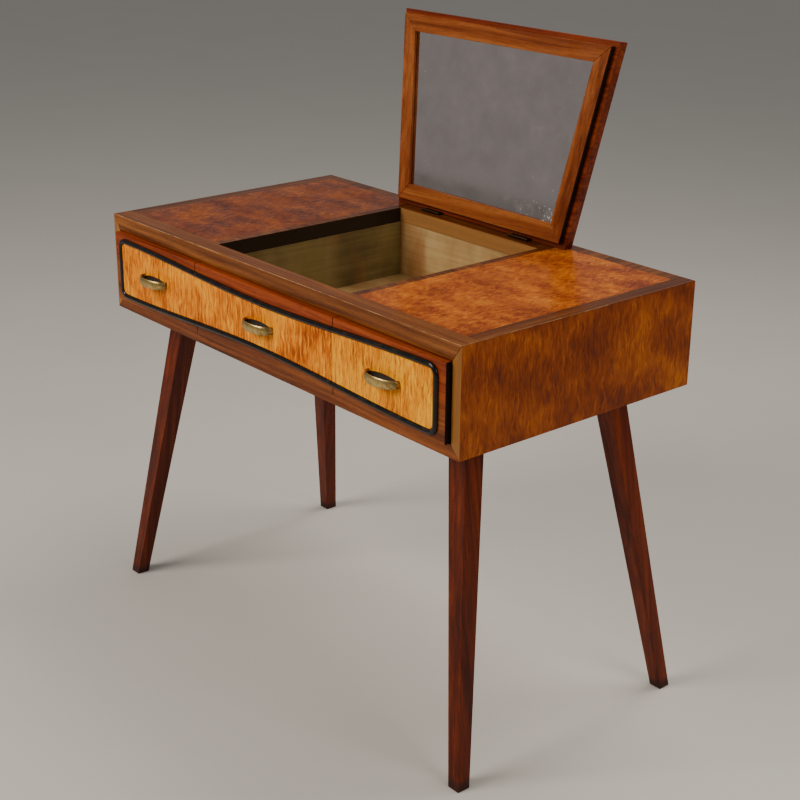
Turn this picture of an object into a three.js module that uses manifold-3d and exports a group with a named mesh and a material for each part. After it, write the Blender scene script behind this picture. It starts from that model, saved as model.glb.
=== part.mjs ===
// Dressing table: a low case on four splayed legs, two side drawers, an open well between them
// and a mirror lid that folds down over the well. Millimetres, +Z up, front towards -Y.
import * as THREE from 'three';
import { mergeVertices } from 'three/addons/utils/BufferGeometryUtils.js';
import Module from 'manifold-3d';

const wasm = await Module();
wasm.setup();

// ---- driving dimensions -------------------------------------------------------------------
const GAP = 0.3; // left between pieces that touch
const CASE_WIDTH = 987;
const CASE_DEPTH = 526;
const TOP_Z = 770; // height of the table top
const CASE_HEIGHT = 185;
const TOP_THICK = 28;
const SIDE_THICK = 20;
const BOTTOM_THICK = 22;
const BACK_THICK = 12;

const WELL_HALF = 188; // half width of the well's mouth
const WELL_FRONT = 33;
const WELL_BACK = 460;
const WELL_FLOOR_Z = 636;
const WALL_THICK = 12;
const FLOOR_THICK = 6;

const LEG_TOP_X = 401; // leg centre lines, under the case and on the floor
const LEG_TOP_Y = 100;
const LEG_FOOT_X = 496;
const LEG_FOOT_Y = 14;
const LEG_TOP_SIZE = 41;
const LEG_FOOT_SIZE = 25;
const LEG_BOLT_RADIUS = 4;

const FRONT_PROUD = 11; // how far the drawer fronts stand out of the case
const FRONT_THICK = 20;
const FRONT_GAP = 1.5; // shadow gap between a drawer front and the case
const SEAM_GAP = 0.9; // between the centre front and a drawer front
const FRONT_SPLIT = 199.25; // where the centre front meets the side fronts
const FIELD_HALF = 446; // outer end of the veneered field
const FIELD_MID = 35.5; // half height of the field at the middle
const FIELD_END = 49; // and at its ends
const FIELD_CORNER = 9;
const FIELD_THICK = 2.2;
const BEAD_WIDTH = 10;
const BEAD_PROUD = 5.5;
const OUTLINE_STEPS = 12;

const PULL_HALF = 40; // half width of a bow pull
const PULL_DEPTH = 23;
const PULL_BAND = 6.5;
const PULL_HEIGHT = 17;
const PULL_X = 331;
const PULL_Z = 676;

const DRAWER_LENGTH = 470;
const DRAWER_SIDE = 10;
const DRAWER_HEIGHT = 112;
const DRAWER_FLOOR = 4;
const RUNNER_HEIGHT = 6;
const RUNNER_WIDTH = 14;

const LID_TILT = THREE.MathUtils.degToRad(9.2); // lean of the open lid
const LID_LENGTH = 368;
const LID_BOTTOM_HALF = 228;
const LID_TOP_HALF = 279;
const LID_PANEL = 18;
const FRAME_THICK = 10;
const FRAME_MARGIN = 9; // the frame is set in from the panel's edge
const RAIL_WIDTH = 31;
const REBATE = 7;
const GLASS_THICK = 3;
const HINGE_Y = 478;
const HINGE_RISE = 3.2; // hinge axis above the table top
const HINGE_X = 120;
const KNUCKLE_RADIUS = 2.6;
const PIN_RADIUS = 1.2;
const LEAF_THICK = 1.4;
const LEAF_REACH = 24; // from the hinge axis back under the lid
const HINGE_LENGTH = 50;

// ---- sizes that follow ---------------------------------------------------------------------
const CASE_HALF = CASE_WIDTH / 2;
const CASE_Z = TOP_Z - CASE_HEIGHT;
const FLOOR_Z = CASE_Z + BOTTOM_THICK; // inner bottom of the case
const CEILING_Z = TOP_Z - TOP_THICK;
const INNER_HALF = CASE_HALF - SIDE_THICK;
const FRONT_LOW = FLOOR_Z + FRONT_GAP;
const FRONT_HIGH = CEILING_Z - FRONT_GAP;
const FIELD_Z = 674.5; // centre line of the veneered field
const FACE_Y = -FRONT_PROUD;
const PULL_Y = FACE_Y - FIELD_THICK - 2 * GAP; // plane that the pulls stand on
const HINGE_Z = TOP_Z + HINGE_RISE;
const HINGE_END = HINGE_LENGTH / 2;
const CLEAR_OF_AXIS = KNUCKLE_RADIUS + 0.6; // the lid leaf starts here, past the case's knuckles
const LEAF_NOSE = -1; // front edge of the case leaf, under the knuckles
const CASE_LEAF_LOW = -3.9; // heights of the leaves from the hinge axis
const CASE_LEAF_HIGH = CASE_LEAF_LOW + LEAF_THICK + 0.2;
const LID_LEAF_LOW = CASE_LEAF_HIGH + GAP;
const LID_LEAF_HIGH = LID_LEAF_LOW + LEAF_THICK;
const MIDDLE_KNUCKLE = 18;
const KNUCKLE_GAP = 0.4;
const HOLE_RADIUS = PIN_RADIUS + 0.08;
const LID_BACK = FRAME_THICK + GAP + LID_PANEL;
const LID_REAR_Y = HINGE_Y + LID_BACK * Math.cos(LID_TILT) + LID_LENGTH * Math.sin(LID_TILT);
const ORIGIN_Y = (PULL_Y - PULL_DEPTH + LID_REAR_Y) / 2; // middle of the overall depth

const table = new THREE.Group();
table.position.y = -ORIGIN_Y;

// ---- materials -----------------------------------------------------------------------------
const finish = (color, roughness, metalness = 0) =>
  new THREE.MeshStandardMaterial({ color, roughness, metalness });
const MAHOGANY = [0x7a3a1c, 0.35];
const ROSEWOOD = [0x5a2312, 0.35];
const BURL = [0xb06a26, 0.3];
const MAPLE = [0xb08a55, 0.55];
const EBONY = [0x120b08, 0.2];
const BRASS = [0x8a7440, 0.35, 1];
const STEEL = [0x8d8a84, 0.4, 1];
const MIRROR = [0xc8cccc, 0.05, 1];
const PINE = [0xa98458, 0.6];

// ---- helpers -------------------------------------------------------------------------------
function addPiece(name, geometry, look, parent = table) {
  const mesh = new THREE.Mesh(geometry, finish(...look));
  mesh.name = name;
  parent.add(mesh);
  return mesh;
}

// A box given by its low and high corners.
function boxBetween(low, high) {
  const size = high.map((value, axis) => value - low[axis]);
  const box = new THREE.BoxGeometry(...size);
  box.translate(...low.map((value, axis) => value + size[axis] / 2));
  return box;
}

// A rod of the given radius between two points.
function rod(radius, start, end, sides = 16) {
  const from = new THREE.Vector3(...start);
  const to = new THREE.Vector3(...end);
  const along = to.clone().sub(from);
  const cylinder = new THREE.CylinderGeometry(radius, radius, along.length(), sides);
  const upright = new THREE.Vector3(0, 1, 0);
  const turn = new THREE.Quaternion().setFromUnitVectors(upright, along.clone().normalize());
  cylinder.applyQuaternion(turn);
  cylinder.translate(...from.add(to).multiplyScalar(0.5));
  return cylinder;
}

// An outline in X and Z pushed along Y from yLow to yHigh.
function slab(shape, yLow, yHigh) {
  const depth = yHigh - yLow;
  const geometry = new THREE.ExtrudeGeometry(shape, { depth, bevelEnabled: false });
  geometry.rotateX(Math.PI / 2); // the outline's second axis becomes Z, the depth runs towards -Y
  geometry.translate(0, yHigh, 0);
  return geometry;
}

const mirrorX = (points) => points.map(([x, z]) => [-x, z]).reverse();

function outlineShape(points) {
  return new THREE.Shape(points.map(([x, z]) => new THREE.Vector2(x, z)));
}

function toSolid(geometry) {
  const bare = geometry.clone();
  bare.deleteAttribute('normal');
  bare.deleteAttribute('uv');
  const merged = mergeVertices(bare, 1e-4);
  const vertProperties = new Float32Array(merged.attributes.position.array);
  const triVerts = new Uint32Array(merged.index.array);
  return new wasm.Manifold(new wasm.Mesh({ numProp: 3, vertProperties, triVerts }));
}

function fromSolid(solid) {
  const mesh = solid.getMesh();
  const geometry = new THREE.BufferGeometry();
  geometry.setAttribute('position', new THREE.BufferAttribute(new Float32Array(mesh.vertProperties), 3));
  geometry.setIndex(new THREE.BufferAttribute(new Uint32Array(mesh.triVerts), 1));
  return geometry;
}

const join = (...geometries) => fromSolid(geometries.map(toSolid).reduce((sum, next) => sum.add(next)));

function cut(geometry, ...tools) {
  return fromSolid(tools.map(toSolid).reduce((rest, tool) => rest.subtract(tool), toSolid(geometry)));
}

const LEFT = -1;
const RIGHT = 1;
const sideName = (side) => (side === LEFT ? 'left' : 'right');
const span = (side, near, far) => (side === LEFT ? [-far, -near] : [near, far]);

// ---- legs ----------------------------------------------------------------------------------
const legCorners = [
  ['front_left', LEFT, LEG_FOOT_Y, LEG_TOP_Y],
  ['front_right', RIGHT, LEG_FOOT_Y, LEG_TOP_Y],
  ['rear_left', LEFT, CASE_DEPTH - LEG_FOOT_Y, CASE_DEPTH - LEG_TOP_Y],
  ['rear_right', RIGHT, CASE_DEPTH - LEG_FOOT_Y, CASE_DEPTH - LEG_TOP_Y],
];
const LEG_TOP_Z = CASE_Z - GAP;
const BOLT_LOW = 50; // how far a leg bolt reaches down into its leg
const BOLT_HEAD = 5;
const BOLT_HEAD_RADIUS = 9;

// A leg is a tapered square bar whose foot is shifted outwards from its top.
function legGeometry(side, footY, topY) {
  const leg = new THREE.BoxGeometry(1, 1, LEG_TOP_Z);
  const corner = leg.attributes.position;
  for (let i = 0; i < corner.count; i += 1) {
    const atTop = corner.getZ(i) > 0;
    const size = atTop ? LEG_TOP_SIZE : LEG_FOOT_SIZE;
    const centreX = side * (atTop ? LEG_TOP_X : LEG_FOOT_X);
    const centreY = atTop ? topY : footY;
    corner.setXYZ(i, centreX + corner.getX(i) * size, centreY + corner.getY(i) * size, atTop ? LEG_TOP_Z : 0);
  }
  return leg;
}

const boltHoles = [];
for (const [name, side, footY, topY] of legCorners) {
  const x = side * LEG_TOP_X;
  const lowZ = LEG_TOP_Z - BOLT_LOW;
  const hole = rod(LEG_BOLT_RADIUS + GAP, [x, topY, lowZ - GAP], [x, topY, FLOOR_Z + 1]);
  const seat = rod(BOLT_HEAD_RADIUS + GAP, [x, topY, FLOOR_Z - BOLT_HEAD - 1], [x, topY, FLOOR_Z + 1]);
  boltHoles.push(hole, seat);
  const shank = rod(LEG_BOLT_RADIUS, [x, topY, lowZ], [x, topY, FLOOR_Z - BOLT_HEAD]);
  const head = rod(BOLT_HEAD_RADIUS, [x, topY, FLOOR_Z - BOLT_HEAD - 0.5], [x, topY, FLOOR_Z - 0.5], 6);
  addPiece(`leg_bolt_${name}`, join(shank, head), STEEL);
  addPiece(`leg_${name}`, cut(legGeometry(side, footY, topY), hole), ROSEWOOD);
}

// ---- case ----------------------------------------------------------------------------------
// Top, bottom and sides meet in mitres that run from the outer arris to the inner corner, so the
// side veneer reaches the full height and the front shows a slanted joint at each corner.
const MITRE_GAP = 0.25; // each board is drawn back from the joint by this much
const wallLow = FLOOR_Z + GAP;
const wallHigh = CEILING_Z - GAP;

const topOutline = [
  [-INNER_HALF + MITRE_GAP, CEILING_Z],
  [INNER_HALF - MITRE_GAP, CEILING_Z],
  [CASE_HALF - MITRE_GAP, TOP_Z],
  [-CASE_HALF + MITRE_GAP, TOP_Z],
];
const mouth = boxBetween([-WELL_HALF, WELL_FRONT, CEILING_Z - 1], [WELL_HALF, WELL_BACK, TOP_Z + 1]);
const hingeRecesses = [LEFT, RIGHT].map((side) => {
  const x = side * HINGE_X;
  const halfLength = HINGE_END + GAP;
  return boxBetween(
    [x - halfLength, HINGE_Y + LEAF_NOSE - GAP, HINGE_Z + CASE_LEAF_LOW - GAP],
    [x + halfLength, HINGE_Y + LEAF_REACH + GAP, TOP_Z + 1],
  );
});
addPiece('top_panel', cut(slab(outlineShape(topOutline), 0, CASE_DEPTH), mouth, ...hingeRecesses), BURL);

const bottomOutline = [
  [-CASE_HALF + MITRE_GAP, CASE_Z],
  [CASE_HALF - MITRE_GAP, CASE_Z],
  [INNER_HALF - MITRE_GAP, FLOOR_Z],
  [-INNER_HALF + MITRE_GAP, FLOOR_Z],
];
addPiece('bottom_panel', cut(slab(outlineShape(bottomOutline), 0, CASE_DEPTH), ...boltHoles), MAHOGANY);

const sideOutlinePoints = [
  [INNER_HALF, FLOOR_Z + MITRE_GAP],
  [CASE_HALF, CASE_Z + MITRE_GAP],
  [CASE_HALF, TOP_Z - MITRE_GAP],
  [INNER_HALF, CEILING_Z - MITRE_GAP],
];
for (const side of [LEFT, RIGHT]) {
  const points = side === RIGHT ? sideOutlinePoints : mirrorX(sideOutlinePoints);
  addPiece(`side_${sideName(side)}`, slab(outlineShape(points), 0, CASE_DEPTH), BURL);
}
addPiece(
  'back_panel',
  boxBetween([-INNER_HALF + GAP, CASE_DEPTH - BACK_THICK, wallLow], [INNER_HALF - GAP, CASE_DEPTH, wallHigh]),
  MAHOGANY,
);

// ---- well ----------------------------------------------------------------------------------
// The side walls run from front to back and part the well from the drawers beside it.
const wellOuter = WELL_HALF + WALL_THICK;
const wellRear = CASE_DEPTH - BACK_THICK - GAP;
const wellNose = FACE_Y + FRONT_THICK + GAP;
for (const side of [LEFT, RIGHT]) {
  const [lowX, highX] = span(side, WELL_HALF, wellOuter);
  const wall = boxBetween([lowX, wellNose, wallLow], [highX, wellRear, wallHigh]);
  addPiece(`well_wall_${sideName(side)}`, wall, MAPLE);
}
const wellInner = WELL_HALF - GAP;
const crossWall = (yLow, yHigh) => boxBetween([-wellInner, yLow, wallLow], [wellInner, yHigh, wallHigh]);
addPiece('well_wall_front', crossWall(WELL_FRONT - WALL_THICK, WELL_FRONT), MAPLE);
addPiece('well_wall_back', crossWall(WELL_BACK, WELL_BACK + WALL_THICK), MAPLE);
addPiece(
  'well_floor',
  boxBetween(
    [-wellInner, WELL_FRONT + GAP, WELL_FLOOR_Z - FLOOR_THICK],
    [wellInner, WELL_BACK - GAP, WELL_FLOOR_Z],
  ),
  MAPLE,
);

// ---- drawer fronts: a waisted veneered field in an ebonised bead -----------------------------
// Half height of the field at a distance from the centre line.
function fieldHalfHeight(x) {
  const turn = (Math.PI * Math.min(Math.abs(x), FIELD_HALF)) / FIELD_HALF;
  return FIELD_MID + ((FIELD_END - FIELD_MID) * (1 - Math.cos(turn))) / 2;
}

// One long edge of the field, grown outwards by `grow`, from xStart to xEnd; up is +1 or -1.
function fieldEdge(xStart, xEnd, grow, up) {
  const points = [];
  for (let step = 0; step <= OUTLINE_STEPS; step += 1) {
    const x = xStart + ((xEnd - xStart) * step) / OUTLINE_STEPS;
    points.push([x, FIELD_Z + up * (fieldHalfHeight(x) + grow)]);
  }
  return points;
}

// A quarter turn round the field's outer corner, from the lower or the upper edge.
function fieldCorner(endX, grow, up, fromEdge) {
  const radius = FIELD_CORNER + grow;
  const centreX = endX - FIELD_CORNER;
  const centreZ = FIELD_Z + up * (fieldHalfHeight(centreX) - FIELD_CORNER);
  const points = [];
  const steps = 5;
  for (let step = 0; step <= steps; step += 1) {
    const turn = ((fromEdge ? step : steps - step) / steps) * (Math.PI / 2);
    points.push([centreX + radius * Math.sin(turn), centreZ + up * radius * Math.cos(turn)]);
  }
  return points;
}

// Outline of a right-hand field or bead edge, open at the inner end.
function sideOutline(startX, grow) {
  const bendX = FIELD_HALF - FIELD_CORNER;
  return [
    ...fieldEdge(startX, bendX, grow, -1).slice(0, -1),
    ...fieldCorner(FIELD_HALF, grow, -1, true),
    ...fieldCorner(FIELD_HALF, grow, 1, false),
    ...fieldEdge(bendX, startX, grow, 1).slice(1),
  ];
}

const innerX = FRONT_SPLIT + SEAM_GAP / 2;
const fieldPlane = [FACE_Y - GAP - FIELD_THICK, FACE_Y - GAP];
const beadPlane = [FACE_Y - GAP - BEAD_PROUD, FACE_Y - GAP];

function sideField(side) {
  const points = sideOutline(innerX, 0);
  return slab(outlineShape(side === RIGHT ? points : mirrorX(points)), ...fieldPlane);
}

function sideBead(side) {
  const outer = sideOutline(innerX, GAP + BEAD_WIDTH);
  const inner = sideOutline(innerX, GAP).reverse();
  const points = [...outer, ...inner];
  return slab(outlineShape(side === RIGHT ? points : mirrorX(points)), ...beadPlane);
}

const centreX = FRONT_SPLIT - SEAM_GAP / 2;
const centreFieldOutline = [
  ...fieldEdge(-centreX, centreX, 0, -1),
  ...fieldEdge(centreX, -centreX, 0, 1),
];
function centreBead(up) {
  const outer = fieldEdge(-centreX, centreX, GAP + BEAD_WIDTH, up);
  const inner = fieldEdge(centreX, -centreX, GAP, up);
  const points = [...outer, ...inner];
  return slab(outlineShape(up < 0 ? points : points.reverse()), ...beadPlane);
}

// ---- bow pulls -------------------------------------------------------------------------------
// A half-oval band that stands out of the front, with a rounded outer face.
function bowPull(x) {
  const oval = new THREE.Shape();
  oval.absellipse(0, 0, PULL_HALF, PULL_DEPTH, Math.PI, 2 * Math.PI, false);
  oval.lineTo(PULL_HALF - PULL_BAND, 0);
  oval.absellipse(0, 0, PULL_HALF - PULL_BAND, PULL_DEPTH - PULL_BAND, 2 * Math.PI, Math.PI, true);
  oval.closePath();
  const rounding = 2;
  const band = new THREE.ExtrudeGeometry(oval, {
    depth: PULL_HEIGHT - 2 * rounding,
    bevelEnabled: true,
    bevelThickness: rounding,
    bevelSize: rounding,
    bevelOffset: -rounding,
    bevelSegments: 2,
    curveSegments: 16,
  });
  const behind = boxBetween([-60, 0, -20], [60, 20, 40]);
  const trimmed = cut(band, behind);
  trimmed.translate(x, PULL_Y, PULL_Z - PULL_HEIGHT / 2 + rounding);
  return trimmed;
}

// ---- fixed centre front ------------------------------------------------------------------------
const centreBoard = boxBetween([-centreX, FACE_Y, FRONT_LOW], [centreX, FACE_Y + FRONT_THICK, FRONT_HIGH]);
const centreField = slab(outlineShape(centreFieldOutline), ...fieldPlane);
addPiece('centre_front', centreBoard, MAHOGANY);
addPiece('centre_veneer', centreField, BURL);
addPiece('centre_bead_lower', centreBead(-1), EBONY);
addPiece('centre_bead_upper', centreBead(1), EBONY);
addPiece('centre_pull', bowPull(0), BRASS);

// ---- side drawers --------------------------------------------------------------------------------
const bayInner = wellOuter; // the drawer bay's inner face
const bayOuter = INNER_HALF;
const boxFront = FACE_Y + FRONT_THICK + GAP;
const boxLow = FLOOR_Z + GAP + RUNNER_HEIGHT + GAP;
const boxHigh = boxLow + DRAWER_HEIGHT;
const SIDE_CLEAR = 4; // between a drawer side and the bay
const GROOVE = 4;
const GROOVE_RISE = 8;

// A drawer side is a board with a groove along its inner face for the drawer bottom.
function drawerSide(xInner, direction) {
  const outer = xInner + direction * DRAWER_SIDE;
  const grooveX = xInner + direction * GROOVE;
  const low = boxLow + GROOVE_RISE;
  const points = [
    [xInner, boxLow],
    [outer, boxLow],
    [outer, boxHigh],
    [xInner, boxHigh],
    [xInner, low + DRAWER_FLOOR + 2 * GAP],
    [grooveX, low + DRAWER_FLOOR + 2 * GAP],
    [grooveX, low],
    [xInner, low],
  ];
  const shape = outlineShape(direction > 0 ? points : points.reverse());
  return slab(shape, boxFront, boxFront + DRAWER_LENGTH);
}

for (const side of [LEFT, RIGHT]) {
  const name = sideName(side);
  const drawer = new THREE.Group();
  table.add(drawer);
  const [frontLow, frontHigh] = span(side, innerX, INNER_HALF - FRONT_GAP);
  const board = boxBetween([frontLow, FACE_Y, FRONT_LOW], [frontHigh, FACE_Y + FRONT_THICK, FRONT_HIGH]);
  addPiece(`${name}_drawer_front`, board, MAHOGANY, drawer);
  addPiece(`${name}_drawer_veneer`, sideField(side), BURL, drawer);
  addPiece(`${name}_drawer_bead`, sideBead(side), EBONY, drawer);
  addPiece(`${name}_drawer_pull`, bowPull(side * PULL_X), BRASS, drawer);

  const nearFace = bayInner + SIDE_CLEAR + DRAWER_SIDE; // inner faces of the drawer box
  const farFace = bayOuter - SIDE_CLEAR - DRAWER_SIDE;
  const backY = boxFront + DRAWER_LENGTH - DRAWER_SIDE;
  addPiece(`${name}_drawer_side_inner`, drawerSide(side * nearFace, -side), MAPLE, drawer);
  addPiece(`${name}_drawer_side_outer`, drawerSide(side * farFace, side), MAPLE, drawer);
  const floorLow = boxLow + GROOVE_RISE + GAP;
  const floorHigh = floorLow + DRAWER_FLOOR;
  const [backLow, backHigh] = span(side, nearFace + GAP, farFace - GAP);
  addPiece(
    `${name}_drawer_back`,
    boxBetween([backLow, backY, floorHigh + GAP], [backHigh, backY + DRAWER_SIDE, boxHigh - 6]),
    MAPLE,
    drawer,
  );
  const reach = GROOVE - GAP; // how far the bottom enters its grooves
  const [floorX0, floorX1] = span(side, nearFace - reach, farFace + reach);
  const floorBack = backY + DRAWER_SIDE;
  addPiece(
    `${name}_drawer_bottom`,
    boxBetween([floorX0, boxFront, floorLow], [floorX1, floorBack, floorHigh]),
    MAPLE,
    drawer,
  );

  // Each drawer slides on two hardwood runners and closes against a stop block.
  const runnerCentres = { inner: nearFace - DRAWER_SIDE / 2, outer: farFace + DRAWER_SIDE / 2 };
  for (const [place, x] of Object.entries(runnerCentres)) {
    const near = Math.max(x - RUNNER_WIDTH / 2, bayInner + GAP);
    const far = Math.min(x + RUNNER_WIDTH / 2, bayOuter - GAP);
    const [lowX, highX] = span(side, near, far);
    addPiece(
      `${name}_runner_${place}`,
      boxBetween([lowX, boxFront, FLOOR_Z + GAP], [highX, wellRear, FLOOR_Z + GAP + RUNNER_HEIGHT]),
      PINE,
    );
  }
  const stopY = boxFront + DRAWER_LENGTH + GAP;
  const middleX = (side * (nearFace + farFace)) / 2;
  addPiece(
    `${name}_drawer_stop`,
    boxBetween([middleX - 30, stopY, FLOOR_Z + GAP], [middleX + 30, wellRear, FLOOR_Z + 40]),
    PINE,
  );
}

// ---- mirror lid ----------------------------------------------------------------------------------
// Drawn upright on the hinge axis: X across, Y to the back, Z up the lid.
const lid = new THREE.Group();
lid.position.set(0, HINGE_Y, HINGE_Z);
lid.rotation.x = -LID_TILT;
table.add(lid);

const lidHalf = (z) => LID_BOTTOM_HALF + ((LID_TOP_HALF - LID_BOTTOM_HALF) * z) / LID_LENGTH;
const flare = (LID_TOP_HALF - LID_BOTTOM_HALF) / LID_LENGTH;
const panelFront = FRAME_THICK + GAP;
const heelClear = 2.6; // the heel stops just above the table top
const heelZ = (y) => (-heelClear + y * Math.sin(LID_TILT)) / Math.cos(LID_TILT);

// The panel is a flared board whose heel is bevelled to stand on the table top.
const panelOutline = [
  [-lidHalf(-10), -10],
  [lidHalf(-10), -10],
  [LID_TOP_HALF, LID_LENGTH],
  [-LID_TOP_HALF, LID_LENGTH],
];
const panelBlank = slab(outlineShape(panelOutline), panelFront, LID_BACK);
const heelCut = new THREE.Shape([
  new THREE.Vector2(-5, heelZ(-5)),
  new THREE.Vector2(-5, -40),
  new THREE.Vector2(60, -40),
  new THREE.Vector2(60, heelZ(60)),
]);
const heelTool = new THREE.ExtrudeGeometry(heelCut, { depth: 800, bevelEnabled: false });
heelTool.applyMatrix4(new THREE.Matrix4().set(0, 0, 1, -400, 1, 0, 0, 0, 0, 1, 0, 0, 0, 0, 0, 1));
const leafPockets = [LEFT, RIGHT].map((side) => {
  const x = side * HINGE_X;
  const halfLength = HINGE_END + GAP;
  const pocket = boxBetween([x - halfLength, 5, -8], [x + halfLength, LEAF_REACH + GAP, LID_LEAF_HIGH + GAP]);
  return pocket.rotateX(LID_TILT);
});
addPiece('lid_panel', cut(panelBlank, heelTool, ...leafPockets), ROSEWOOD, lid);

// The frame: four mitred rails round the glass, rebated at the back.
const frameLow = FRAME_MARGIN;
const frameHigh = LID_LENGTH - FRAME_MARGIN;
const slope = Math.hypot(1, flare);
const frameHalf = (z) => lidHalf(z) - FRAME_MARGIN * slope;
const sightHalf = (z, inset) => frameHalf(z) - inset * slope;
const corner = (z, inset, side) => [side * sightHalf(z, inset), z];

function railOutline(inset0, inset1, edge) {
  const low0 = frameLow + inset0;
  const low1 = frameLow + inset1;
  const high0 = frameHigh - inset0;
  const high1 = frameHigh - inset1;
  const mitre = GAP / 2;
  if (edge === 'bottom' || edge === 'top') {
    const outerZ = edge === 'bottom' ? low0 : high0;
    const innerZ = edge === 'bottom' ? low1 : high1;
    const wide = corner(outerZ, inset0, 1)[0] - mitre;
    const narrow = corner(innerZ, inset1, 1)[0] - mitre;
    return [[-wide, outerZ], [wide, outerZ], [narrow, innerZ], [-narrow, innerZ]];
  }
  const sign = edge === 'right' ? 1 : -1;
  const lift = mitre;
  return [
    [corner(low0, inset0, sign)[0], low0 + lift],
    [corner(high0, inset0, sign)[0], high0 - lift],
    [corner(high1, inset1, sign)[0], high1 - lift],
    [corner(low1, inset1, sign)[0], low1 + lift],
  ];
}

function flatShape(points) {
  const shape = outlineShape(points);
  return THREE.ShapeUtils.isClockWise(shape.getPoints()) ? outlineShape([...points].reverse()) : shape;
}

const rebateDepth = GLASS_THICK + 2 * GAP;
function rail(edge) {
  const face = slab(flatShape(railOutline(0, RAIL_WIDTH, edge)), 0, FRAME_THICK - rebateDepth);
  const backing = slab(flatShape(railOutline(0, RAIL_WIDTH - REBATE, edge)), 0, FRAME_THICK);
  return join(face, backing);
}

addPiece('frame_rail_bottom', rail('bottom'), MAHOGANY, lid);
addPiece('frame_rail_top', rail('top'), MAHOGANY, lid);
addPiece('frame_rail_left', rail('left'), MAHOGANY, lid);
addPiece('frame_rail_right', rail('right'), MAHOGANY, lid);

const glassInset = RAIL_WIDTH - REBATE + GAP;
const glassOutline = [
  corner(frameLow + glassInset, glassInset, -1),
  corner(frameLow + glassInset, glassInset, 1),
  corner(frameHigh - glassInset, glassInset, 1),
  corner(frameHigh - glassInset, glassInset, -1),
];
const glassBack = FRAME_THICK;
addPiece('mirror_glass', slab(outlineShape(glassOutline), glassBack - GLASS_THICK, glassBack), MIRROR, lid);

// ---- butt hinges ---------------------------------------------------------------------------------
// With the lid open the leaves lie on each other: one let into the table top, the other into the
// heel of the lid. All is drawn from the hinge axis with the lid open.
for (const side of [LEFT, RIGHT]) {
  const x = side * HINGE_X;
  const name = sideName(side);
  const bore = rod(HOLE_RADIUS, [x - HINGE_END - 1, 0, 0], [x + HINGE_END + 1, 0, 0], 24);

  const [endLow, endHigh] = [x - HINGE_END, x + HINGE_END];
  const lidLeaf = boxBetween([endLow, CLEAR_OF_AXIS, LID_LEAF_LOW], [endHigh, LEAF_REACH, LID_LEAF_HIGH]);
  const halfMiddle = MIDDLE_KNUCKLE / 2;
  const tongueBack = CLEAR_OF_AXIS + 1;
  const tongue = boxBetween([x - halfMiddle, 0, LID_LEAF_LOW], [x + halfMiddle, tongueBack, LID_LEAF_HIGH]);
  const middle = rod(KNUCKLE_RADIUS, [x - halfMiddle, 0, 0], [x + halfMiddle, 0, 0]);
  const lidHalfHinge = cut(join(lidLeaf, tongue, middle), bore);
  lidHalfHinge.rotateX(LID_TILT);
  addPiece(`lid_leaf_${name}`, lidHalfHinge, BRASS, lid);

  const caseLeaf = boxBetween([endLow, LEAF_NOSE, CASE_LEAF_LOW], [endHigh, LEAF_REACH, CASE_LEAF_HIGH]);
  const space = halfMiddle + KNUCKLE_GAP;
  const middleSpace = boxBetween([x - space, -5, -6], [x + space, CLEAR_OF_AXIS + KNUCKLE_GAP, 6]);
  const outerKnuckles = [LEFT, RIGHT].map((way) =>
    rod(KNUCKLE_RADIUS, [x + way * space, 0, 0], [x + way * HINGE_END, 0, 0]),
  );
  const caseHalfHinge = cut(join(cut(caseLeaf, middleSpace), ...outerKnuckles), bore);
  const atAxis = addPiece(`case_leaf_${name}`, caseHalfHinge, BRASS);
  atAxis.position.set(0, HINGE_Y, HINGE_Z);
  const pinRod = rod(PIN_RADIUS, [endLow, 0, 0], [endHigh, 0, 0], 24);
  const pin = addPiece(`hinge_pin_${name}`, pinRod, BRASS);
  pin.position.set(0, HINGE_Y, HINGE_Z);
}

export default table;
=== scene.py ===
# %% [markdown]
# # A dressing table with a folding mirror
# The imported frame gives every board, hinge and pull its true size and place, in metres. This
# lesson gives them their looks. Boards get softened edges, the black beads get a half-round
# face, the pulls are made again as rounded bows, and each wood gets its own figure.
# Nothing is moved: a refined piece stands exactly where its plain one stood.

from math import pi, radians

import bmesh
import bpy
from mathutils import Matrix, Vector


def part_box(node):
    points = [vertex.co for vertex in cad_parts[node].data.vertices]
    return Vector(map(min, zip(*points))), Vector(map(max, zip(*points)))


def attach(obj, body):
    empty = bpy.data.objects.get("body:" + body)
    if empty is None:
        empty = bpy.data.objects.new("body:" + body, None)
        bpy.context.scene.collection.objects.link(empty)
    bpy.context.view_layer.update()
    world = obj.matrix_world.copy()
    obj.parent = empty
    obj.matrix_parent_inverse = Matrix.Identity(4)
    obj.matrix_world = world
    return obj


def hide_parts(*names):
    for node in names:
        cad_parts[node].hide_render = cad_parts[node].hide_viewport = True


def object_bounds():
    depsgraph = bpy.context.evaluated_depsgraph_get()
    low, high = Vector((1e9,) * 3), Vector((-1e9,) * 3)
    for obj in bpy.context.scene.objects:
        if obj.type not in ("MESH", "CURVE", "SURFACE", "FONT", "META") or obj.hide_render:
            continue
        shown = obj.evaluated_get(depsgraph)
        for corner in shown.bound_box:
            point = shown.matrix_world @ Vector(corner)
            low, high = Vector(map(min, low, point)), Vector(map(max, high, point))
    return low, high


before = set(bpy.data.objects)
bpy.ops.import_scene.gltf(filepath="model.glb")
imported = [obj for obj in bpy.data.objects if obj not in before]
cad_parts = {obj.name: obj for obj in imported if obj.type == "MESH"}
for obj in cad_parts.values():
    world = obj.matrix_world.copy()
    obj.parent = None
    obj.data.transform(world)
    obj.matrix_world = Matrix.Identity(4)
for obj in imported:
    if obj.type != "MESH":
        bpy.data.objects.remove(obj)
MM = 0.001
cad_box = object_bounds()
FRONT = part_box("side_left")[0].y  # plane of the case's front edges
CASE_HALF, REAR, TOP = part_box("side_right")[1]
MOUTH_HALF = abs(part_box("well_wall_left")[1].x)  # half the width of the well
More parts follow.
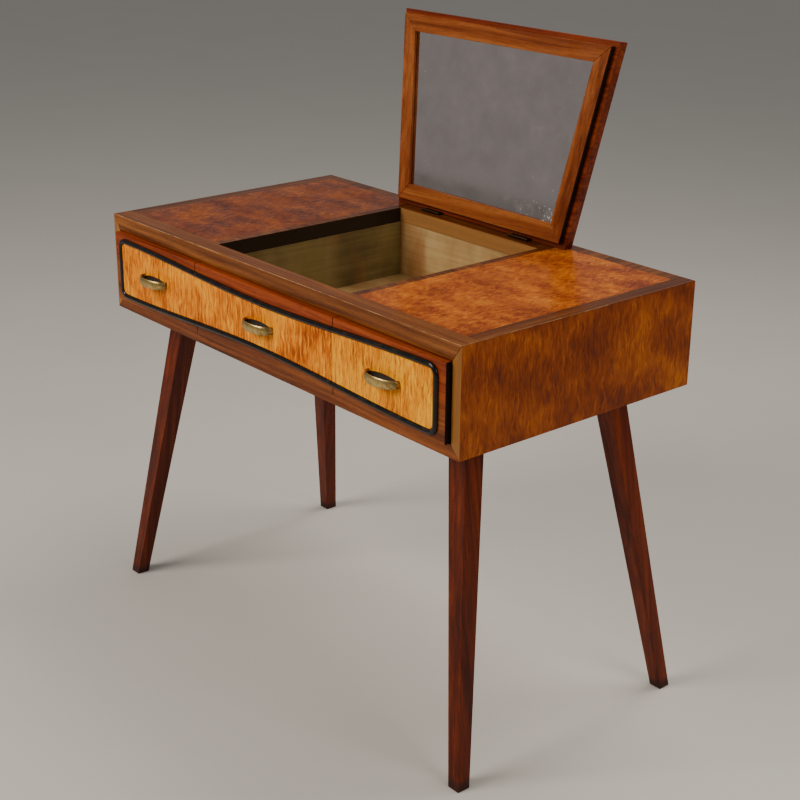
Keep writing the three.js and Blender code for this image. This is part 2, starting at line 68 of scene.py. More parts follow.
print("frame", [round(v, 3) for v in cad_box[0]], [round(v, 3) for v in cad_box[1]])

# %% [markdown]
# ## Shader sums in plain Python
# A wood finish is mostly arithmetic on positions: how far along the grain, how far across it,
# inside the veneered field or outside. Writing that with nodes by hand is long and hard to
# read. A small class wraps a socket, so that a sum in Python adds the Math nodes by itself,
# and a second one holds a material and adds any other node with one method.


# %% A socket that takes part in sums
class Wire:
    """An output socket of a shader node. Sums and comparisons on it add Math nodes."""

    def __init__(self, recipe, socket):
        self.recipe = recipe
        self.socket = socket

    def math(self, operation, *values):
        return self.recipe.node("Math", {"operation": operation}, dict(enumerate(values)))

    def __add__(self, other):
        return self.math("ADD", self, other)

    def __sub__(self, other):
        return self.math("SUBTRACT", self, other)

    def __rsub__(self, other):
        return self.math("SUBTRACT", other, self)

    def __mul__(self, other):
        return self.math("MULTIPLY", self, other)

    def __lt__(self, other):
        return self.math("LESS_THAN", self, other)

    def __gt__(self, other):
        return self.math("GREATER_THAN", self, other)

    def __abs__(self):
        return self.math("ABSOLUTE", self)

    __radd__ = __add__
    __rmul__ = __mul__


# %% A material and its nodes
class Recipe:
    """One finish: a Principled shader and the nodes that feed it."""

    def __init__(self, name):
        self.material = bpy.data.materials.new(name)
        self.material.use_nodes = True
        self.tree = self.material.node_tree
        self.shader = self.tree.nodes["Principled BSDF"]

    def node(self, kind, settings=None, inputs=None, out=0):
        """Adds a node: its type, its settings, then what its sockets hold or are fed by."""
        made = self.tree.nodes.new("ShaderNode" + kind)
        for name, value in (settings or {}).items():
            if name == "stops":
                self.set_stops(made.color_ramp, value)
            else:
                setattr(made, name, value)
        for key, value in (inputs or {}).items():
            self.feed(made.inputs[key], value)
        if isinstance(out, tuple):
            return [Wire(self, made.outputs[each]) for each in out]
        return Wire(self, made.outputs[out])

    def feed(self, socket, value):
        if isinstance(value, Wire):
            self.tree.links.new(value.socket, socket)
        else:
            socket.default_value = value

    def set_stops(self, ramp, stops):
        while len(ramp.elements) < len(stops):
            ramp.elements.new(0.5)
        for element, (place, colour) in zip(ramp.elements, stops):
            element.position = place
            element.color = (*colour, 1)

    def place(self):
        """Position in the table's own frame, in metres, as three values."""
        coords = self.node("TexCoord", out="Object")
        return self.node("SeparateXYZ", None, {0: coords}, (0, 1, 2))

    def facing(self):
        """Which way the surface looks, as three values."""
        coords = self.node("TexCoord", out="Normal")
        return self.node("SeparateXYZ", None, {0: coords}, (0, 1, 2))

    def vector(self, x, y, z):
        return self.node("CombineXYZ", None, {0: x, 1: y, 2: z})

    def noise(self, vector, scale, detail=2.0, roughness=0.5, distortion=0.0):
        values = {"Vector": vector, "Scale": scale, "Detail": detail}
        values |= {"Roughness": roughness, "Distortion": distortion}
        return self.node("TexNoise", None, values, "Fac")

    def ramp(self, value, *stops):
        return self.node("ValToRGB", {"stops": stops}, {"Fac": value}, "Color")

    def level(self, value, low, high, to_low=0.0, to_high=1.0):
        """Slides a value from the range low to high into another range, held at its ends."""
        values = {0: value, 1: low, 2: high, 3: to_low, 4: to_high}
        return self.node("MapRange", None, values)

    def mix(self, factor, first, second):
        """Colour `first` where factor is 0, `second` where it is 1."""
        first = first if isinstance(first, Wire) else (*first, 1)
        second = second if isinstance(second, Wire) else (*second, 1)
        return self.node("Mix", {"data_type": "RGBA"}, {0: factor, 6: first, 7: second}, 2)

    def shade(self, factor, colour):
        """Multiplies a colour by a grey factor."""
        return self.node("VectorMath", {"operation": "SCALE"}, {0: colour, 3: factor})

    def finish(self, colour, roughness, height=None, depth=0.0, fixed=None):
        """Feeds the shader. `height` makes a bump of `depth` metres, `fixed` are plain values."""
        self.feed(self.shader.inputs["Base Color"], colour)
        self.feed(self.shader.inputs["Roughness"], roughness)
        if height is not None:
            values = {"Height": height, "Distance": depth, "Strength": 1.0}
            self.feed(self.shader.inputs["Normal"], self.node("Bump", None, values))
        for name, value in (fixed or {}).items():
            self.feed(self.shader.inputs[name], value)
        print("finish", self.material.name, len(self.tree.nodes), "nodes")
        return self.material


# %% [markdown]
# ## Old polish
# Wood of this kind was rubbed with shellac, and the film has gone hazy in patches. One even
# roughness would look like plastic, so it follows a slow noise instead. The film is thin, so
# its gloss is set low. The pale veneer on the fronts gets the thinnest film of all, because a
# strong one would wash its colour out.

# %% Films and haze
LACQUER = {"Coat Weight": 0.06, "Coat Roughness": 0.10, "Specular IOR Level": 0.14}
THIN_LACQUER = {"Coat Weight": 0.03, "Coat Roughness": 0.12, "Specular IOR Level": 0.08}
METAL = {"Metallic": 1.0}
FIGURE_DEPTH = 0.12 * MM  # how deep the bump of a veneer's figure goes
GRAIN_DEPTH = 0.1 * MM  # the same for straight grain


def polish(recipe, spot, scale, smooth, dull, detail=3.0, fine=0.5):
    """Roughness of an old polish, between `smooth` and `dull`. Scales are per metre."""
    haze = recipe.noise(spot, scale, detail, fine)
    return recipe.level(haze, 0.35, 0.7, smooth, dull)


# %% [markdown]
# ## Straight-grained mahogany
# The frame members are plain mahogany: long fibres that drift a little, with short dark pores.
# A wave texture could draw the fibres, but its lines are too even. Noise that is stretched
# along the grain gives both: the numbers are repeats for each metre, few along the grain and
# many across it. The grain direction is passed in as three values, so that a top border, a
# stile and a leg share one function.


# %% Long fibres and pores
def fibres(recipe, along, across, depth):
    """Two values for straight-grained wood: soft colour bands, and dark pores."""
    drift = recipe.noise(recipe.vector(along * 2.2, across * 9, depth * 9), 1.0, 2.0)
    shifted = across + drift * 0.03
    bands = recipe.noise(recipe.vector(along * 3, shifted * 130, depth * 130), 1.0, 4.0, 0.62)
    pores = recipe.noise(recipe.vector(along * 45, shifted * 1100, depth * 1100), 1.0, 1.0)
    broad = recipe.noise(recipe.vector(along * 2, shifted * 26, depth * 26), 1.0, 1.0)
    return bands * 0.62 + broad * 0.38, recipe.level(pores, 0.56, 0.7)


def mahogany(recipe, grain, dark, middle, light):
    """Colour, bands and pores of straight-grained wood in three tones."""
    bands, pores = fibres(recipe, *grain)
    colour = recipe.ramp(bands, (0.36, dark), (0.5, middle), (0.63, light))
    colour = recipe.mix(pores * 0.5, colour, tuple(part * 0.35 for part in dark))
    return colour, bands, pores


# %% [markdown]
# ## Figured veneer
# The fields and the two ends are a wavy, mottled veneer that seems to glow. Its figure is short
# curly streaks across broad light and dark clouds. One noise alone would look like fog, so
# three layers make it: clouds of about a hand's width, curls a few millimetres wide and some
# centimetres long, and streaks that are finer still. The same slow warp bends all three, so
# that they belong together.


# %% Clouds, curls and streaks
def figured(recipe, across, along, seed, cloud_share, streak_share):
    """One value from dark (0) to golden (1) for a sheet of figured veneer."""
    slow = recipe.noise(recipe.vector(across, along, seed), 30.0, 2.0)
    bent = across + slow * 0.020
    clouds = recipe.noise(recipe.vector(bent, along, seed + 3.1), 12.0, 3.0, 0.55)
    curls = recipe.noise(recipe.vector(bent * 170, along * 30, seed), 1.0, 2.0, 0.5, 0.9)
    streaks = recipe.noise(recipe.vector(bent * 560, along * 30, seed), 1.0, 3.0, 0.7, 0.3)
    total = (clouds - 0.5) * cloud_share + (curls - 0.5) * 0.7 + (streaks - 0.5) * streak_share
    return total + 0.5


# %% [markdown]
# ## The case boards
# The top is one board to the eye, yet it carries five parts: two figured fields, borders mitred
# round them, a strip each side of the well, a polished front edge and the cut edge of the well,
# which is painted near black at its sides, as painted shade and a painted dark reflection.
# Modelling each as an inlay would cut the board up for joints thinner than a millimetre. So
# masks worked out from the position pick the part, and the direction that the surface looks in
# tells the edges from the face.

# %% Where the parts of the top lie
FIELD_NEAR = MOUTH_HALF + 16 * MM
FIELD_FAR = CASE_HALF - 29.5 * MM
FIELD_FRONT = FRONT + 36 * MM
FIELD_BACK = REAR - 26 * MM
JOINT_LINE = 0.7 * MM  # dark glue line round a field
STRIP_WIDTH = 30 * MM  # reach of the strips beside the well
MITRE_SLOPE = 1.22  # depth of a front mitre over its width
RIM_SHADE = 60 * MM  # how far a field's darker rim reaches in
CUT_FRONT = FRONT + 30 * MM  # the well's cut edge lies between these
CUT_BACK = REAR - 60 * MM
CUT_SIDE = MOUTH_HALF + 1 * MM
# the front and side edges of the top are paler: part wear, part painted highlight
FRONT_WEAR_AND_GLINT = 0.9 * MM
SIDE_WEAR_AND_GLINT = 1.1 * MM
SIDE_WORN_AND_GLINTING_TO = 50 * MM  # the line of wear and painted highlight on the sides runs from the front to here
print("field of the top", round((FIELD_FAR - FIELD_NEAR) / MM), round((FIELD_BACK - FIELD_FRONT) / MM))


def inside(value, low, high):
    return (value > low) * (value < high)


def in_field(side, y, grown=0.0):
    """1 on the two veneered fields, each grown on all sides."""
    over_width = inside(side, FIELD_NEAR - grown, FIELD_FAR + grown)
    return over_width * inside(y, FIELD_FRONT - grown, FIELD_BACK + grown)


# %% The woods of the top
BORDER_TONES = ((0.050, 0.011, 0.002), (0.115, 0.030, 0.005), (0.19, 0.060, 0.012))
EDGE_TONES = ((0.10, 0.024, 0.004), (0.22, 0.066, 0.011), (0.34, 0.125, 0.024))
# the right field's tones: partly its own veneer, partly a painted sheen of the light it catches
RIGHT_LEAF_AND_SHEEN = (
    (0.20, (0.14, 0.018, 0.001)),
    (0.42, (0.29, 0.055, 0.002)),
    (0.62, (0.44, 0.112, 0.005)),
    (0.88, (0.60, 0.200, 0.012)),
)
LEFT_LEAF = (
    (0.18, (0.045, 0.005, 0.001)),
    (0.44, (0.145, 0.023, 0.001)),
    (0.64, (0.245, 0.050, 0.001)),
    (0.88, (0.36, 0.098, 0.004)),
)
JOINT_BROWN = (0.05, 0.016, 0.006)
# near black: painted shade and painted dark reflection on the cut edge of the well
CUT_SHADE_AND_REFLECTION = (0.018, 0.012, 0.008)
CUT_TAN = (0.40, 0.22, 0.075)
BARE_WOOD_AND_GLINT = (0.62, 0.36, 0.17)


def border_wood(recipe, x, y, z, upward):
    """Straight grain across the front, turned front to back past the mitres and by the well."""
    side = abs(x)
    past_mitre = ((CASE_HALF - side) * MITRE_SLOPE < y - FRONT) * (side > FIELD_NEAR - STRIP_WIDTH)
    turned = upward * past_mitre
    along = x + (y - x) * turned
    across = y + (x - y) * turned
    return mahogany(recipe, (along, across + z, z), *BORDER_TONES)


def top_sheets(recipe, x, y, figure):
    """The left field is dark; the right one is paler, partly its own tone and partly a painted sheen,
    and darker towards its rim.
    """
    rim_x = recipe.level(abs(x), FIELD_FAR - RIM_SHADE, FIELD_FAR, 0.0, 0.09)
    rim_y = recipe.level(y, FIELD_FRONT, FIELD_FRONT + RIM_SHADE, 0.07, 0.0)
    right = recipe.ramp(figure - rim_x - rim_y, *RIGHT_LEAF_AND_SHEEN)
    return recipe.mix(x > 0, recipe.ramp(figure, *LEFT_LEAF), right)


def worn_and_glinting_edge(recipe, colour, x, y, z, nz):
    """Pale wood on the front and side edges of the top: partly rubbed through, partly a painted
    highlight on the arris.
    """
    at_side = (abs(x) > CASE_HALF - SIDE_WEAR_AND_GLINT) * (y < SIDE_WORN_AND_GLINTING_TO)
    at_edge = ((y - FRONT < FRONT_WEAR_AND_GLINT) + at_side > 0.5) * (nz > 0.2)
    patches = recipe.noise(recipe.vector(x * 40, y * 40, z * 40), 1.0, 3.0)
    return recipe.mix(at_edge * recipe.level(patches, 0.4, 0.6, 0.2, 0.8), colour, BARE_WOOD_AND_GLINT)


# %% The table top
def make_top_finish():
    recipe = Recipe("polished_table_top")
    x, y, z = recipe.place()
    _, ny, nz = recipe.facing()
    upward = nz > 0.5
    field = in_field(abs(x), y)
    joint = in_field(abs(x), y, JOINT_LINE) - field
    plain, bands, pores = border_wood(recipe, x, y, z, upward)
    edge = mahogany(recipe, (x, z + 0.3, y), *EDGE_TONES)[0]
    plain = recipe.mix(upward * (y < FIELD_FRONT) * 0.45, plain, edge)
    figure = figured(recipe, x, y * 1.9, 7.0, 0.95, 1.4)
    face = recipe.mix(field * upward, plain, top_sheets(recipe, x, y, figure))
    face = recipe.mix(joint * upward * 0.7, face, JOINT_BROWN)
    colour = recipe.mix(ny < -0.5, face, edge)
    # Painted shade and reflection: the cut edge round the well's mouth is near black, except at the
    # back, which is tan.
    cut = (abs(x) < CUT_SIDE) * inside(y, CUT_FRONT, CUT_BACK) * (nz < 0.3)
    colour = recipe.mix(cut, colour, CUT_SHADE_AND_REFLECTION)
    colour = recipe.mix(cut * (ny < -0.5), colour, recipe.mix(0.5, edge, CUT_TAN))
    colour = worn_and_glinting_edge(recipe, colour, x, y, z, nz)
    rough = polish(recipe, recipe.vector(x, y, z), 14.0, 0.2, 0.36, 4.0, 0.6) + pores * 0.06
    height = figure * field * 0.5 + bands * (1 - field) * 0.5 - pores * 0.4 - joint
    return recipe.finish(colour, rough, height, FIGURE_DEPTH, LACQUER)


top_finish = make_top_finish()

# %% [markdown]
# ## The veneered ends
# Each end carries a sheet of the same veneer with its streaks upright, a shade darker towards
# the top. Its front edge is not veneered: it shows the solid golden stile that the mitre of
# the frame runs into. Two materials would do for that, but one that changes with the
# direction of the surface also covers the rounded corner between them.

# %% The ends
AMBER_SHEET = (
    (0.20, (0.115, 0.016, 0.001)),
    (0.44, (0.225, 0.038, 0.001)),
    (0.64, (0.33, 0.070, 0.002)),
    (0.88, (0.50, 0.145, 0.005)),
)
STILE_GOLD = (0.36, 0.165, 0.042)


def make_end_finish():
    recipe = Recipe("figured_end_veneer")
    x, y, z = recipe.place()
    veneered = abs(recipe.facing()[0]) > 0.5
    figure = figured(recipe, y + x * 0.3, z + y * 0.25, 2.0, 1.15, 0.95)
    darker_up = recipe.level(z, TOP - 190 * MM, TOP - 40 * MM, -0.02, 0.05)
    sheet = recipe.ramp(figure - darker_up, *AMBER_SHEET)
    stile, bands, pores = mahogany(recipe, (z, x, y + 0.2), *EDGE_TONES)
    colour = recipe.mix(veneered, recipe.mix(0.5, stile, STILE_GOLD), sheet)
    rough = polish(recipe, recipe.vector(x, y, z), 17.0, 0.24, 0.42, 4.0, 0.6)
    height = figure * veneered + bands * (1 - veneered) - pores * 0.3
    return recipe.finish(colour, rough, height, FIGURE_DEPTH, LACQUER)


end_finish = make_end_finish()

# %% [markdown]
# ## Bottom, back and drawer fronts
# These boards run from end to end, so their grain follows X. The upper half of the fronts is a
# redder wood than the lower one. The sides of a front that stands proud are near black, which
# gives the dark line beside it. The boards differ in little more than their tones, so one
# function makes all three finishes.

# %% Boards that run across the table
RED_TONES = ((0.08, 0.009, 0.001), (0.25, 0.034, 0.003), (0.40, 0.072, 0.007))
BROWN_TONES = ((0.07, 0.014, 0.002), (0.175, 0.040, 0.006), (0.28, 0.078, 0.013))
BACK_TONES = tuple(tuple(part * 0.75 for part in tone) for tone in BROWN_TONES)
FRONT_SIDE_BLACK = (0.008, 0.005, 0.004)
PULL_Z = (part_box("centre_pull")[0].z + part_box("centre_pull")[1].z) / 2
WOOD_FADE = 20 * MM  # half the height over which the two woods of a front meet


def make_cross_finish(name, tones, is_front=False):
    """Wood with its grain along X. A drawer front is redder above its pull and black-ended."""
    recipe = Recipe(name)
    x, y, z = recipe.place()
    colour, bands, pores = mahogany(recipe, (x, z + y * 0.2, y), *tones)
    if is_front:
        redder = mahogany(recipe, (x + 0.4, z, y), *RED_TONES)[0]
        higher = recipe.level(z, PULL_Z - WOOD_FADE, PULL_Z + WOOD_FADE)
        colour = recipe.mix(higher, colour, redder)
        # The sides of a proud front are near black.
        colour = recipe.mix(abs(recipe.facing()[0]) > 0.5, colour, FRONT_SIDE_BLACK)
    rough = polish(recipe, recipe.vector(x, y, z), 15.0, 0.24, 0.4) + pores * 0.08
    return recipe.finish(colour, rough, bands - pores * 0.6, GRAIN_DEPTH, LACQUER)


bottom_finish = make_cross_finish("bottom_board_mahogany", BROWN_TONES)
front_finish = make_cross_finish("drawer_front_mahogany", BROWN_TONES, True)
back_finish = make_cross_finish("back_board_mahogany", BACK_TONES)

# %% [markdown]
# ## Legs
# The legs are a darker, redder wood with its grain along the leg. A leg splays outwards, and
# grain that followed Z would run out through its side. So the splay is taken out of the
# position first. The last few centimetres are scuffed, and the very tips are darkened to near
# black.

# %% The legs
LEG_SPLAY = 95 / 585  # outward travel of a leg for each unit of height
LEG_TONES = ((0.055, 0.006, 0.001), (0.120, 0.014, 0.001), (0.20, 0.028, 0.003))
SCUFF_DARK = (0.02, 0.008, 0.005)
SCUFF_HEIGHT = 50 * MM
TIP_BLACK = (0.016, 0.009, 0.007)
TIP_HEIGHT = 10 * MM
TIP_FADE = 10 * MM


def make_leg_finish():
    recipe = Recipe("leg_rosewood")
    x, y, z = recipe.place()
    upright = abs(x) + z * LEG_SPLAY
    colour, bands, pores = mahogany(recipe, (z, upright, y), *LEG_TONES)
    scuffed = recipe.level(z, 0.0, SCUFF_HEIGHT, 1.0, 0.0)
    scuffs = recipe.noise(recipe.vector(x, y, z * 0.4), 160.0, 3.0)
    colour = recipe.mix(scuffed * recipe.level(scuffs, 0.5, 0.62) * 0.6, colour, SCUFF_DARK)
    tip = recipe.level(z, TIP_HEIGHT, TIP_HEIGHT + TIP_FADE, 1.0, 0.0)
    colour = recipe.mix(tip * 0.75, colour, TIP_BLACK)
    rough = polish(recipe, recipe.vector(x, y, z * 0.3), 40.0, 0.26, 0.44) + scuffed * 0.15
    return recipe.finish(colour, rough, bands - pores * 0.6, GRAIN_DEPTH, LACQUER)


leg_finish = make_leg_finish()

# %% [markdown]
# ## The veneer on the fronts
# The fields on the fronts are the palest veneer, cut so that the streaks stand upright. The
# right-hand leaf is from another sheet, so it is a little yellower, and its seam shows. It
# could have a material of its own, but a mask at the seam keeps both sheets at one scale. The
# figure is shifted there as well, because two sheets never match across a seam.

# %% Front veneer
SEAM_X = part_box("right_drawer_veneer")[0].x - 0.5 * MM
SHEET_SHIFT = 0.7  # how far along the pattern the second sheet is cut
ORANGE_LEAF = (
    (0.16, (0.24, 0.030, 0.001)),
    (0.40, (0.60, 0.135, 0.001)),
    (0.60, (0.90, 0.300, 0.003)),
    (0.86, (1.0, 0.50, 0.020)),
)
YELLOW_LEAF = (
    (0.14, (0.32, 0.055, 0.001)),
    (0.38, (0.74, 0.215, 0.002)),
    (0.60, (1.0, 0.410, 0.006)),
    (0.86, (1.0, 0.60, 0.035)),
)
FLECK_BROWN = (0.20, 0.05, 0.01)


def make_field_finish():
    recipe = Recipe("front_field_veneer")
    x, y, z = recipe.place()
    yellow = x > SEAM_X
    figure = figured(recipe, x + yellow * SHEET_SHIFT, z, 11.0, 0.7, 1.25)
    lines = recipe.noise(recipe.vector(x * 260, y, z * 14), 1.0, 3.0, 0.6, 0.5)
    figure = figure + recipe.level(lines, 0.34, 0.66, -0.14, 0.10)
    colour = recipe.mix(yellow, recipe.ramp(figure, *ORANGE_LEAF), recipe.ramp(figure, *YELLOW_LEAF))
    flecks = recipe.noise(recipe.vector(x * 500, y * 500, z * 160), 1.0, 1.0)
    colour = recipe.mix(recipe.level(flecks, 0.64, 0.74) * 0.5, colour, FLECK_BROWN)
    rough = polish(recipe, recipe.vector(x, y, z), 30.0, 0.24, 0.4)
    return recipe.finish(colour, rough, figure, FIGURE_DEPTH, THIN_LACQUER)


field_finish = make_field_finish()

# %% [markdown]
# ## Black bead and brass pulls
# The bead is ebonised wood, near black, with a brown tint where the stain is rubbed. The pulls
# are old brass: bright where hands rub the bow, olive and dull in the hollow behind it. One
# flat colour would look new, so a noise mixes a second tone into each of them.


# %% Ebonised bead
def make_bead_finish():
    recipe = Recipe("ebonised_bead")
    x, y, z = recipe.place()
    rub = recipe.noise(recipe.vector(x * 60, y * 60, z * 60), 1.0, 4.0, 0.6)
    colour = recipe.ramp(rub, (0.5, (0.004, 0.003, 0.003)), (0.74, (0.02, 0.008, 0.005)))
    rough = recipe.level(rub, 0.35, 0.7, 0.14, 0.3)
    return recipe.finish(colour, rough, rub, 0.08 * MM, {"Specular IOR Level": 0.35})


bead_finish = make_bead_finish()

# %% Old brass
BRASS_BRIGHT = (0.56, 0.40, 0.15)
BRASS_DULL = (0.13, 0.082, 0.026)
HOLLOW_DEPTH = 20 * MM  # how far behind the front of a pull its brass is dullest


def make_brass_finish():
    recipe = Recipe("old_brass")
    x, y, z = recipe.place()
    patina = recipe.noise(recipe.vector(x, y, z), 130.0, 5.0, 0.65)
    hollow = recipe.level(y, cad_box[0].y, cad_box[0].y + HOLLOW_DEPTH)
    dull = recipe.level(patina + hollow * 0.25, 0.5, 0.85)
    colour = recipe.mix(dull, BRASS_BRIGHT, BRASS_DULL)
    spots = recipe.noise(recipe.vector(x, y, z), 520.0, 2.0)
    rough = recipe.level(spots, 0.35, 0.7, 0.22, 0.42) + dull * 0.14
    return recipe.finish(colour, rough, patina, 0.1 * MM, METAL)


brass_finish = make_brass_finish()

# %% [markdown]
# ## The lining of the well and the drawers
# The well and the drawer boxes are pale maple, gone tan with age. The wall at the well's left
# is olive and darker: painted shade, since that wall is turned from the light. The back wall is
# browner towards its left corner. Each board could have its own material, but the grain would
# be the same in all of them. So one finish serves them all, and masks on the position add the
# painted shade, the stains and the browner corner where they belong.

# %% Lining
LINING_TAN = (
    (0.34, (0.20, 0.105, 0.032)),
    (0.48, (0.36, 0.215, 0.078)),
    (0.64, (0.50, 0.345, 0.155)),
)
LINING_PAINTED_SHADE = ((0.36, (0.085, 0.058, 0.014)), (0.62, (0.20, 0.145, 0.045)))
STAIN_BROWN = (0.26, 0.085, 0.014)
BROWN_CORNER_REACH = 90 * MM  # how far the browner corner reaches from the left wall


def make_lining_finish():
    recipe = Recipe("maple_lining")
    x, y, z = recipe.place()
    nx, ny, _ = recipe.facing()
    slow = recipe.noise(recipe.vector(x * 3, y * 3, z * 3), 1.0, 2.0)
    grain = recipe.noise(recipe.vector(x * 5, y * 5, z * 170 + slow * 3), 1.0, 4.0, 0.6)
    blotch = recipe.noise(recipe.vector(x * 9, y * 9, z * 6), 1.0, 3.0, 0.6)
    tone = grain * 0.35 + blotch * 0.65
    # Painted shade: faces looking +X near the well's mouth, as its left wall, take darker olive tones.
    shaded_wall = (nx > 0.5) * (abs(x) < MOUTH_HALF + 20 * MM)
    colour = recipe.mix(shaded_wall, recipe.ramp(tone, *LINING_TAN), recipe.ramp(tone, *LINING_PAINTED_SHADE))
    stain = recipe.noise(recipe.vector(x * 16, y * 16, z * 5), 1.0, 3.0)
    # The back wall is browner towards its left corner.
    corner = recipe.level(x, -MOUTH_HALF, BROWN_CORNER_REACH - MOUTH_HALF, 0.34, 0.0) * (ny < -0.5)
    colour = recipe.mix(recipe.level(stain + corner, 0.6, 0.82) * 0.8, colour, STAIN_BROWN)
    rough = recipe.level(stain, 0.3, 0.7, 0.4, 0.6)
    return recipe.finish(colour, rough, grain, FIGURE_DEPTH)


lining_finish = make_lining_finish()

# %% [markdown]
# ## The mirror
# The mirror is old silvering: a clean reflection, a little grey and cloudy. Its silvering has
# failed in small pale spots, and most of them gather in the lower right corner. Spots placed
# one by one would all need a place of their own. A noise makes them instead, and it gets a
# push from the position, which is strongest in that corner.

# %% Mirror
glass_low, glass_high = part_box("mirror_glass")
SILVER_DIM = (0.66, 0.58, 0.57)
SILVER_CLEAR = (0.78, 0.69, 0.675)
SILVER_LOST = (0.88, 0.85, 0.85)


def make_mirror_finish():
    recipe = Recipe("old_silvered_glass")
    x, y, z = recipe.place()
    cloud = recipe.noise(recipe.vector(x, y, z), 22.0, 5.0, 0.6)
    spots = recipe.noise(recipe.vector(x, y, z), 170.0, 2.0)
    low = recipe.level(z, glass_low.z, glass_low.z + 90 * MM, 1.0, 0.0)
    right = recipe.level(x, glass_high.x - 200 * MM, glass_high.x - 50 * MM)
    corner = low * right
    rim = recipe.level(cloud + corner * 0.34, 0.64, 0.8)
    fox = recipe.level(spots + corner * 0.2, 0.72, 0.8)
    colour = recipe.mix(recipe.level(cloud, 0.3, 0.7), SILVER_DIM, SILVER_CLEAR)
    colour = recipe.mix(fox * 0.6 + rim * 0.35, colour, SILVER_LOST)
    rough = recipe.level(cloud, 0.3, 0.75, 0.03, 0.08) + fox * 0.25 + rim * 0.10
    return recipe.finish(colour, rough, fixed=METAL)


mirror_finish = make_mirror_finish()

# %% [markdown]
# ## Parts that are seldom seen
# Runners, bolts, screws, the near-black seat behind a pull, which is partly painted shade in
# its hollow, and the bronzed hinges need only a colour, a roughness and a speckle or a grain.
# One function makes them all, and three numbers say how finely the speckle repeats along each
# axis: a small one stretches it into grain.


# %% Plain finishes
def make_plain_finish(name, colour, rough, grain, fixed=None):
    recipe = Recipe(name)
    x, y, z = recipe.place()
    spot = recipe.vector(x * grain[0], y * grain[1], z * grain[2])
    speckle = recipe.noise(spot, 1.0, 3.0, 0.6)
    tone = recipe.shade(recipe.level(speckle, 0.3, 0.7, 0.65, 1.3), colour)
    rough = recipe.level(speckle, 0.3, 0.7, rough - 0.06, rough + 0.1)
    return recipe.finish(tone, rough, speckle, GRAIN_DEPTH, fixed)


runner_finish = make_plain_finish("runner_pine", (0.42, 0.26, 0.11), 0.6, (220, 8, 220))
steel_finish = make_plain_finish("fixing_steel", (0.36, 0.34, 0.32), 0.38, (500, 500, 500), METAL)
shade_seat_finish = make_plain_finish("painted_shade_seat", (0.012, 0.008, 0.005), 0.5, (300, 300, 300))
hinge_finish = make_plain_finish("bronzed_hinge", (0.055, 0.032, 0.016), 0.42, (420, 420, 420), METAL)

# %% [markdown]
# ## The woods of the lid
# The mirror's frame is orange mahogany, mitred at its corners, and stands on a panel of darker
# rosewood. The rails' grain runs across the lid. The stiles' grain runs up it, and it has to
# lean as they do, or it would be cut off at a slant. So a share of the height is taken out of
# the sideways position. The outer sides of the stiles are near black like the fronts' sides,
# here as painted shade for the shadowed gap between the frame and the panel.

# %% Lid woods
FRAME_TONES = ((0.13, 0.024, 0.005), (0.25, 0.060, 0.012), (0.36, 0.110, 0.024))
PANEL_TONES = ((0.06, 0.007, 0.001), (0.15, 0.020, 0.003), (0.25, 0.045, 0.007))
STILE_PAINTED_SHADE = (0.012, 0.006, 0.004)
STILE_LEAN = 0.12  # outward travel of a stile for each unit of height


def make_rail_finish(name, tones, outer_side=0):
    """Lid wood with grain across it, or up it for the stile whose outer side faces -X or +X."""
    recipe = Recipe(name)
    x, y, z = recipe.place()
    grain = (z, x - z * (STILE_LEAN * outer_side), y) if outer_side else (x, z, y)
    colour, bands, pores = mahogany(recipe, grain, *tones)
    if outer_side:
        # Painted shade: the stile's outer side is near black, for the shadowed gap beside it.
        colour = recipe.mix(recipe.facing()[0] * outer_side > 0.6, colour, STILE_PAINTED_SHADE)
    rough = polish(recipe, recipe.vector(x, y, z), 25.0, 0.22, 0.38) + pores * 0.08
    return recipe.finish(colour, rough, bands - pores * 0.6, GRAIN_DEPTH, LACQUER)


rail_finish = make_rail_finish("lid_rail_mahogany", FRAME_TONES)
frame_finishes = {
    "top": rail_finish,
    "bottom": rail_finish,
    "left": make_rail_finish("lid_left_stile_mahogany", FRAME_TONES, -1),
    "right": make_rail_finish("lid_right_stile_mahogany", FRAME_TONES, 1),
}
panel_finish = make_rail_finish("lid_panel_rosewood", PANEL_TONES)

# %% [markdown]
# ## Softened boards
# A real board's edges are eased with a plane and worn by hands, and that thin round is what
# catches the light. A Bevel modifier could round them, but not on loose triangles, which is
# what the frame holds. So each visible board is copied, its triangles are merged and its flat
# faces joined, and then every sharp edge is bevelled. Weighted normals keep the broad faces
# flat to the eye.

# %% Copy a board and add a piece
SHARP = radians(25)  # edges above this get a bevel
CREASE = radians(50)  # edges above this stay crisp in the shading
SAME_POINT = 0.01 * MM
FLAT = radians(0.4)


def merged_copy(node):
    """A bmesh of a frame node with its triangles joined into whole faces."""
    work = bmesh.new()
    work.from_mesh(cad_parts[node].data)
    bmesh.ops.remove_doubles(work, verts=work.verts, dist=SAME_POINT)
    bmesh.ops.dissolve_limit(work, angle_limit=FLAT, verts=work.verts, edges=work.edges)
    return work


def add_piece(name, work, body, finish, stands_for=()):
    """Turns a bmesh into a finished piece that rides its body."""
    mesh = bpy.data.meshes.new(name)
    for face in work.faces:
        face.smooth = True
    for edge in work.edges:
        edge.smooth = edge.calc_face_angle(0.0) < CREASE
    work.to_mesh(mesh)
    work.free()
    mesh.materials.append(finish)
    piece = bpy.data.objects.new(name, mesh)
    bpy.context.scene.collection.objects.link(piece)
    even = piece.modifiers.new("even_light", "WEIGHTED_NORMAL")
    even.weight = 100
    even.keep_sharp = True
    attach(piece, body)
    if stands_for:
        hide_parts(*stands_for)
    return piece


# %% Soften a board
def bevel_edges(work, edges, width, segments):
    bmesh.ops.bevel(
        work,
        geom=edges,
        offset=width,
        offset_type="OFFSET",
        segments=segments,
        profile=0.5,
        affect="EDGES",
        clamp_overlap=True,
        material=-1,
    )


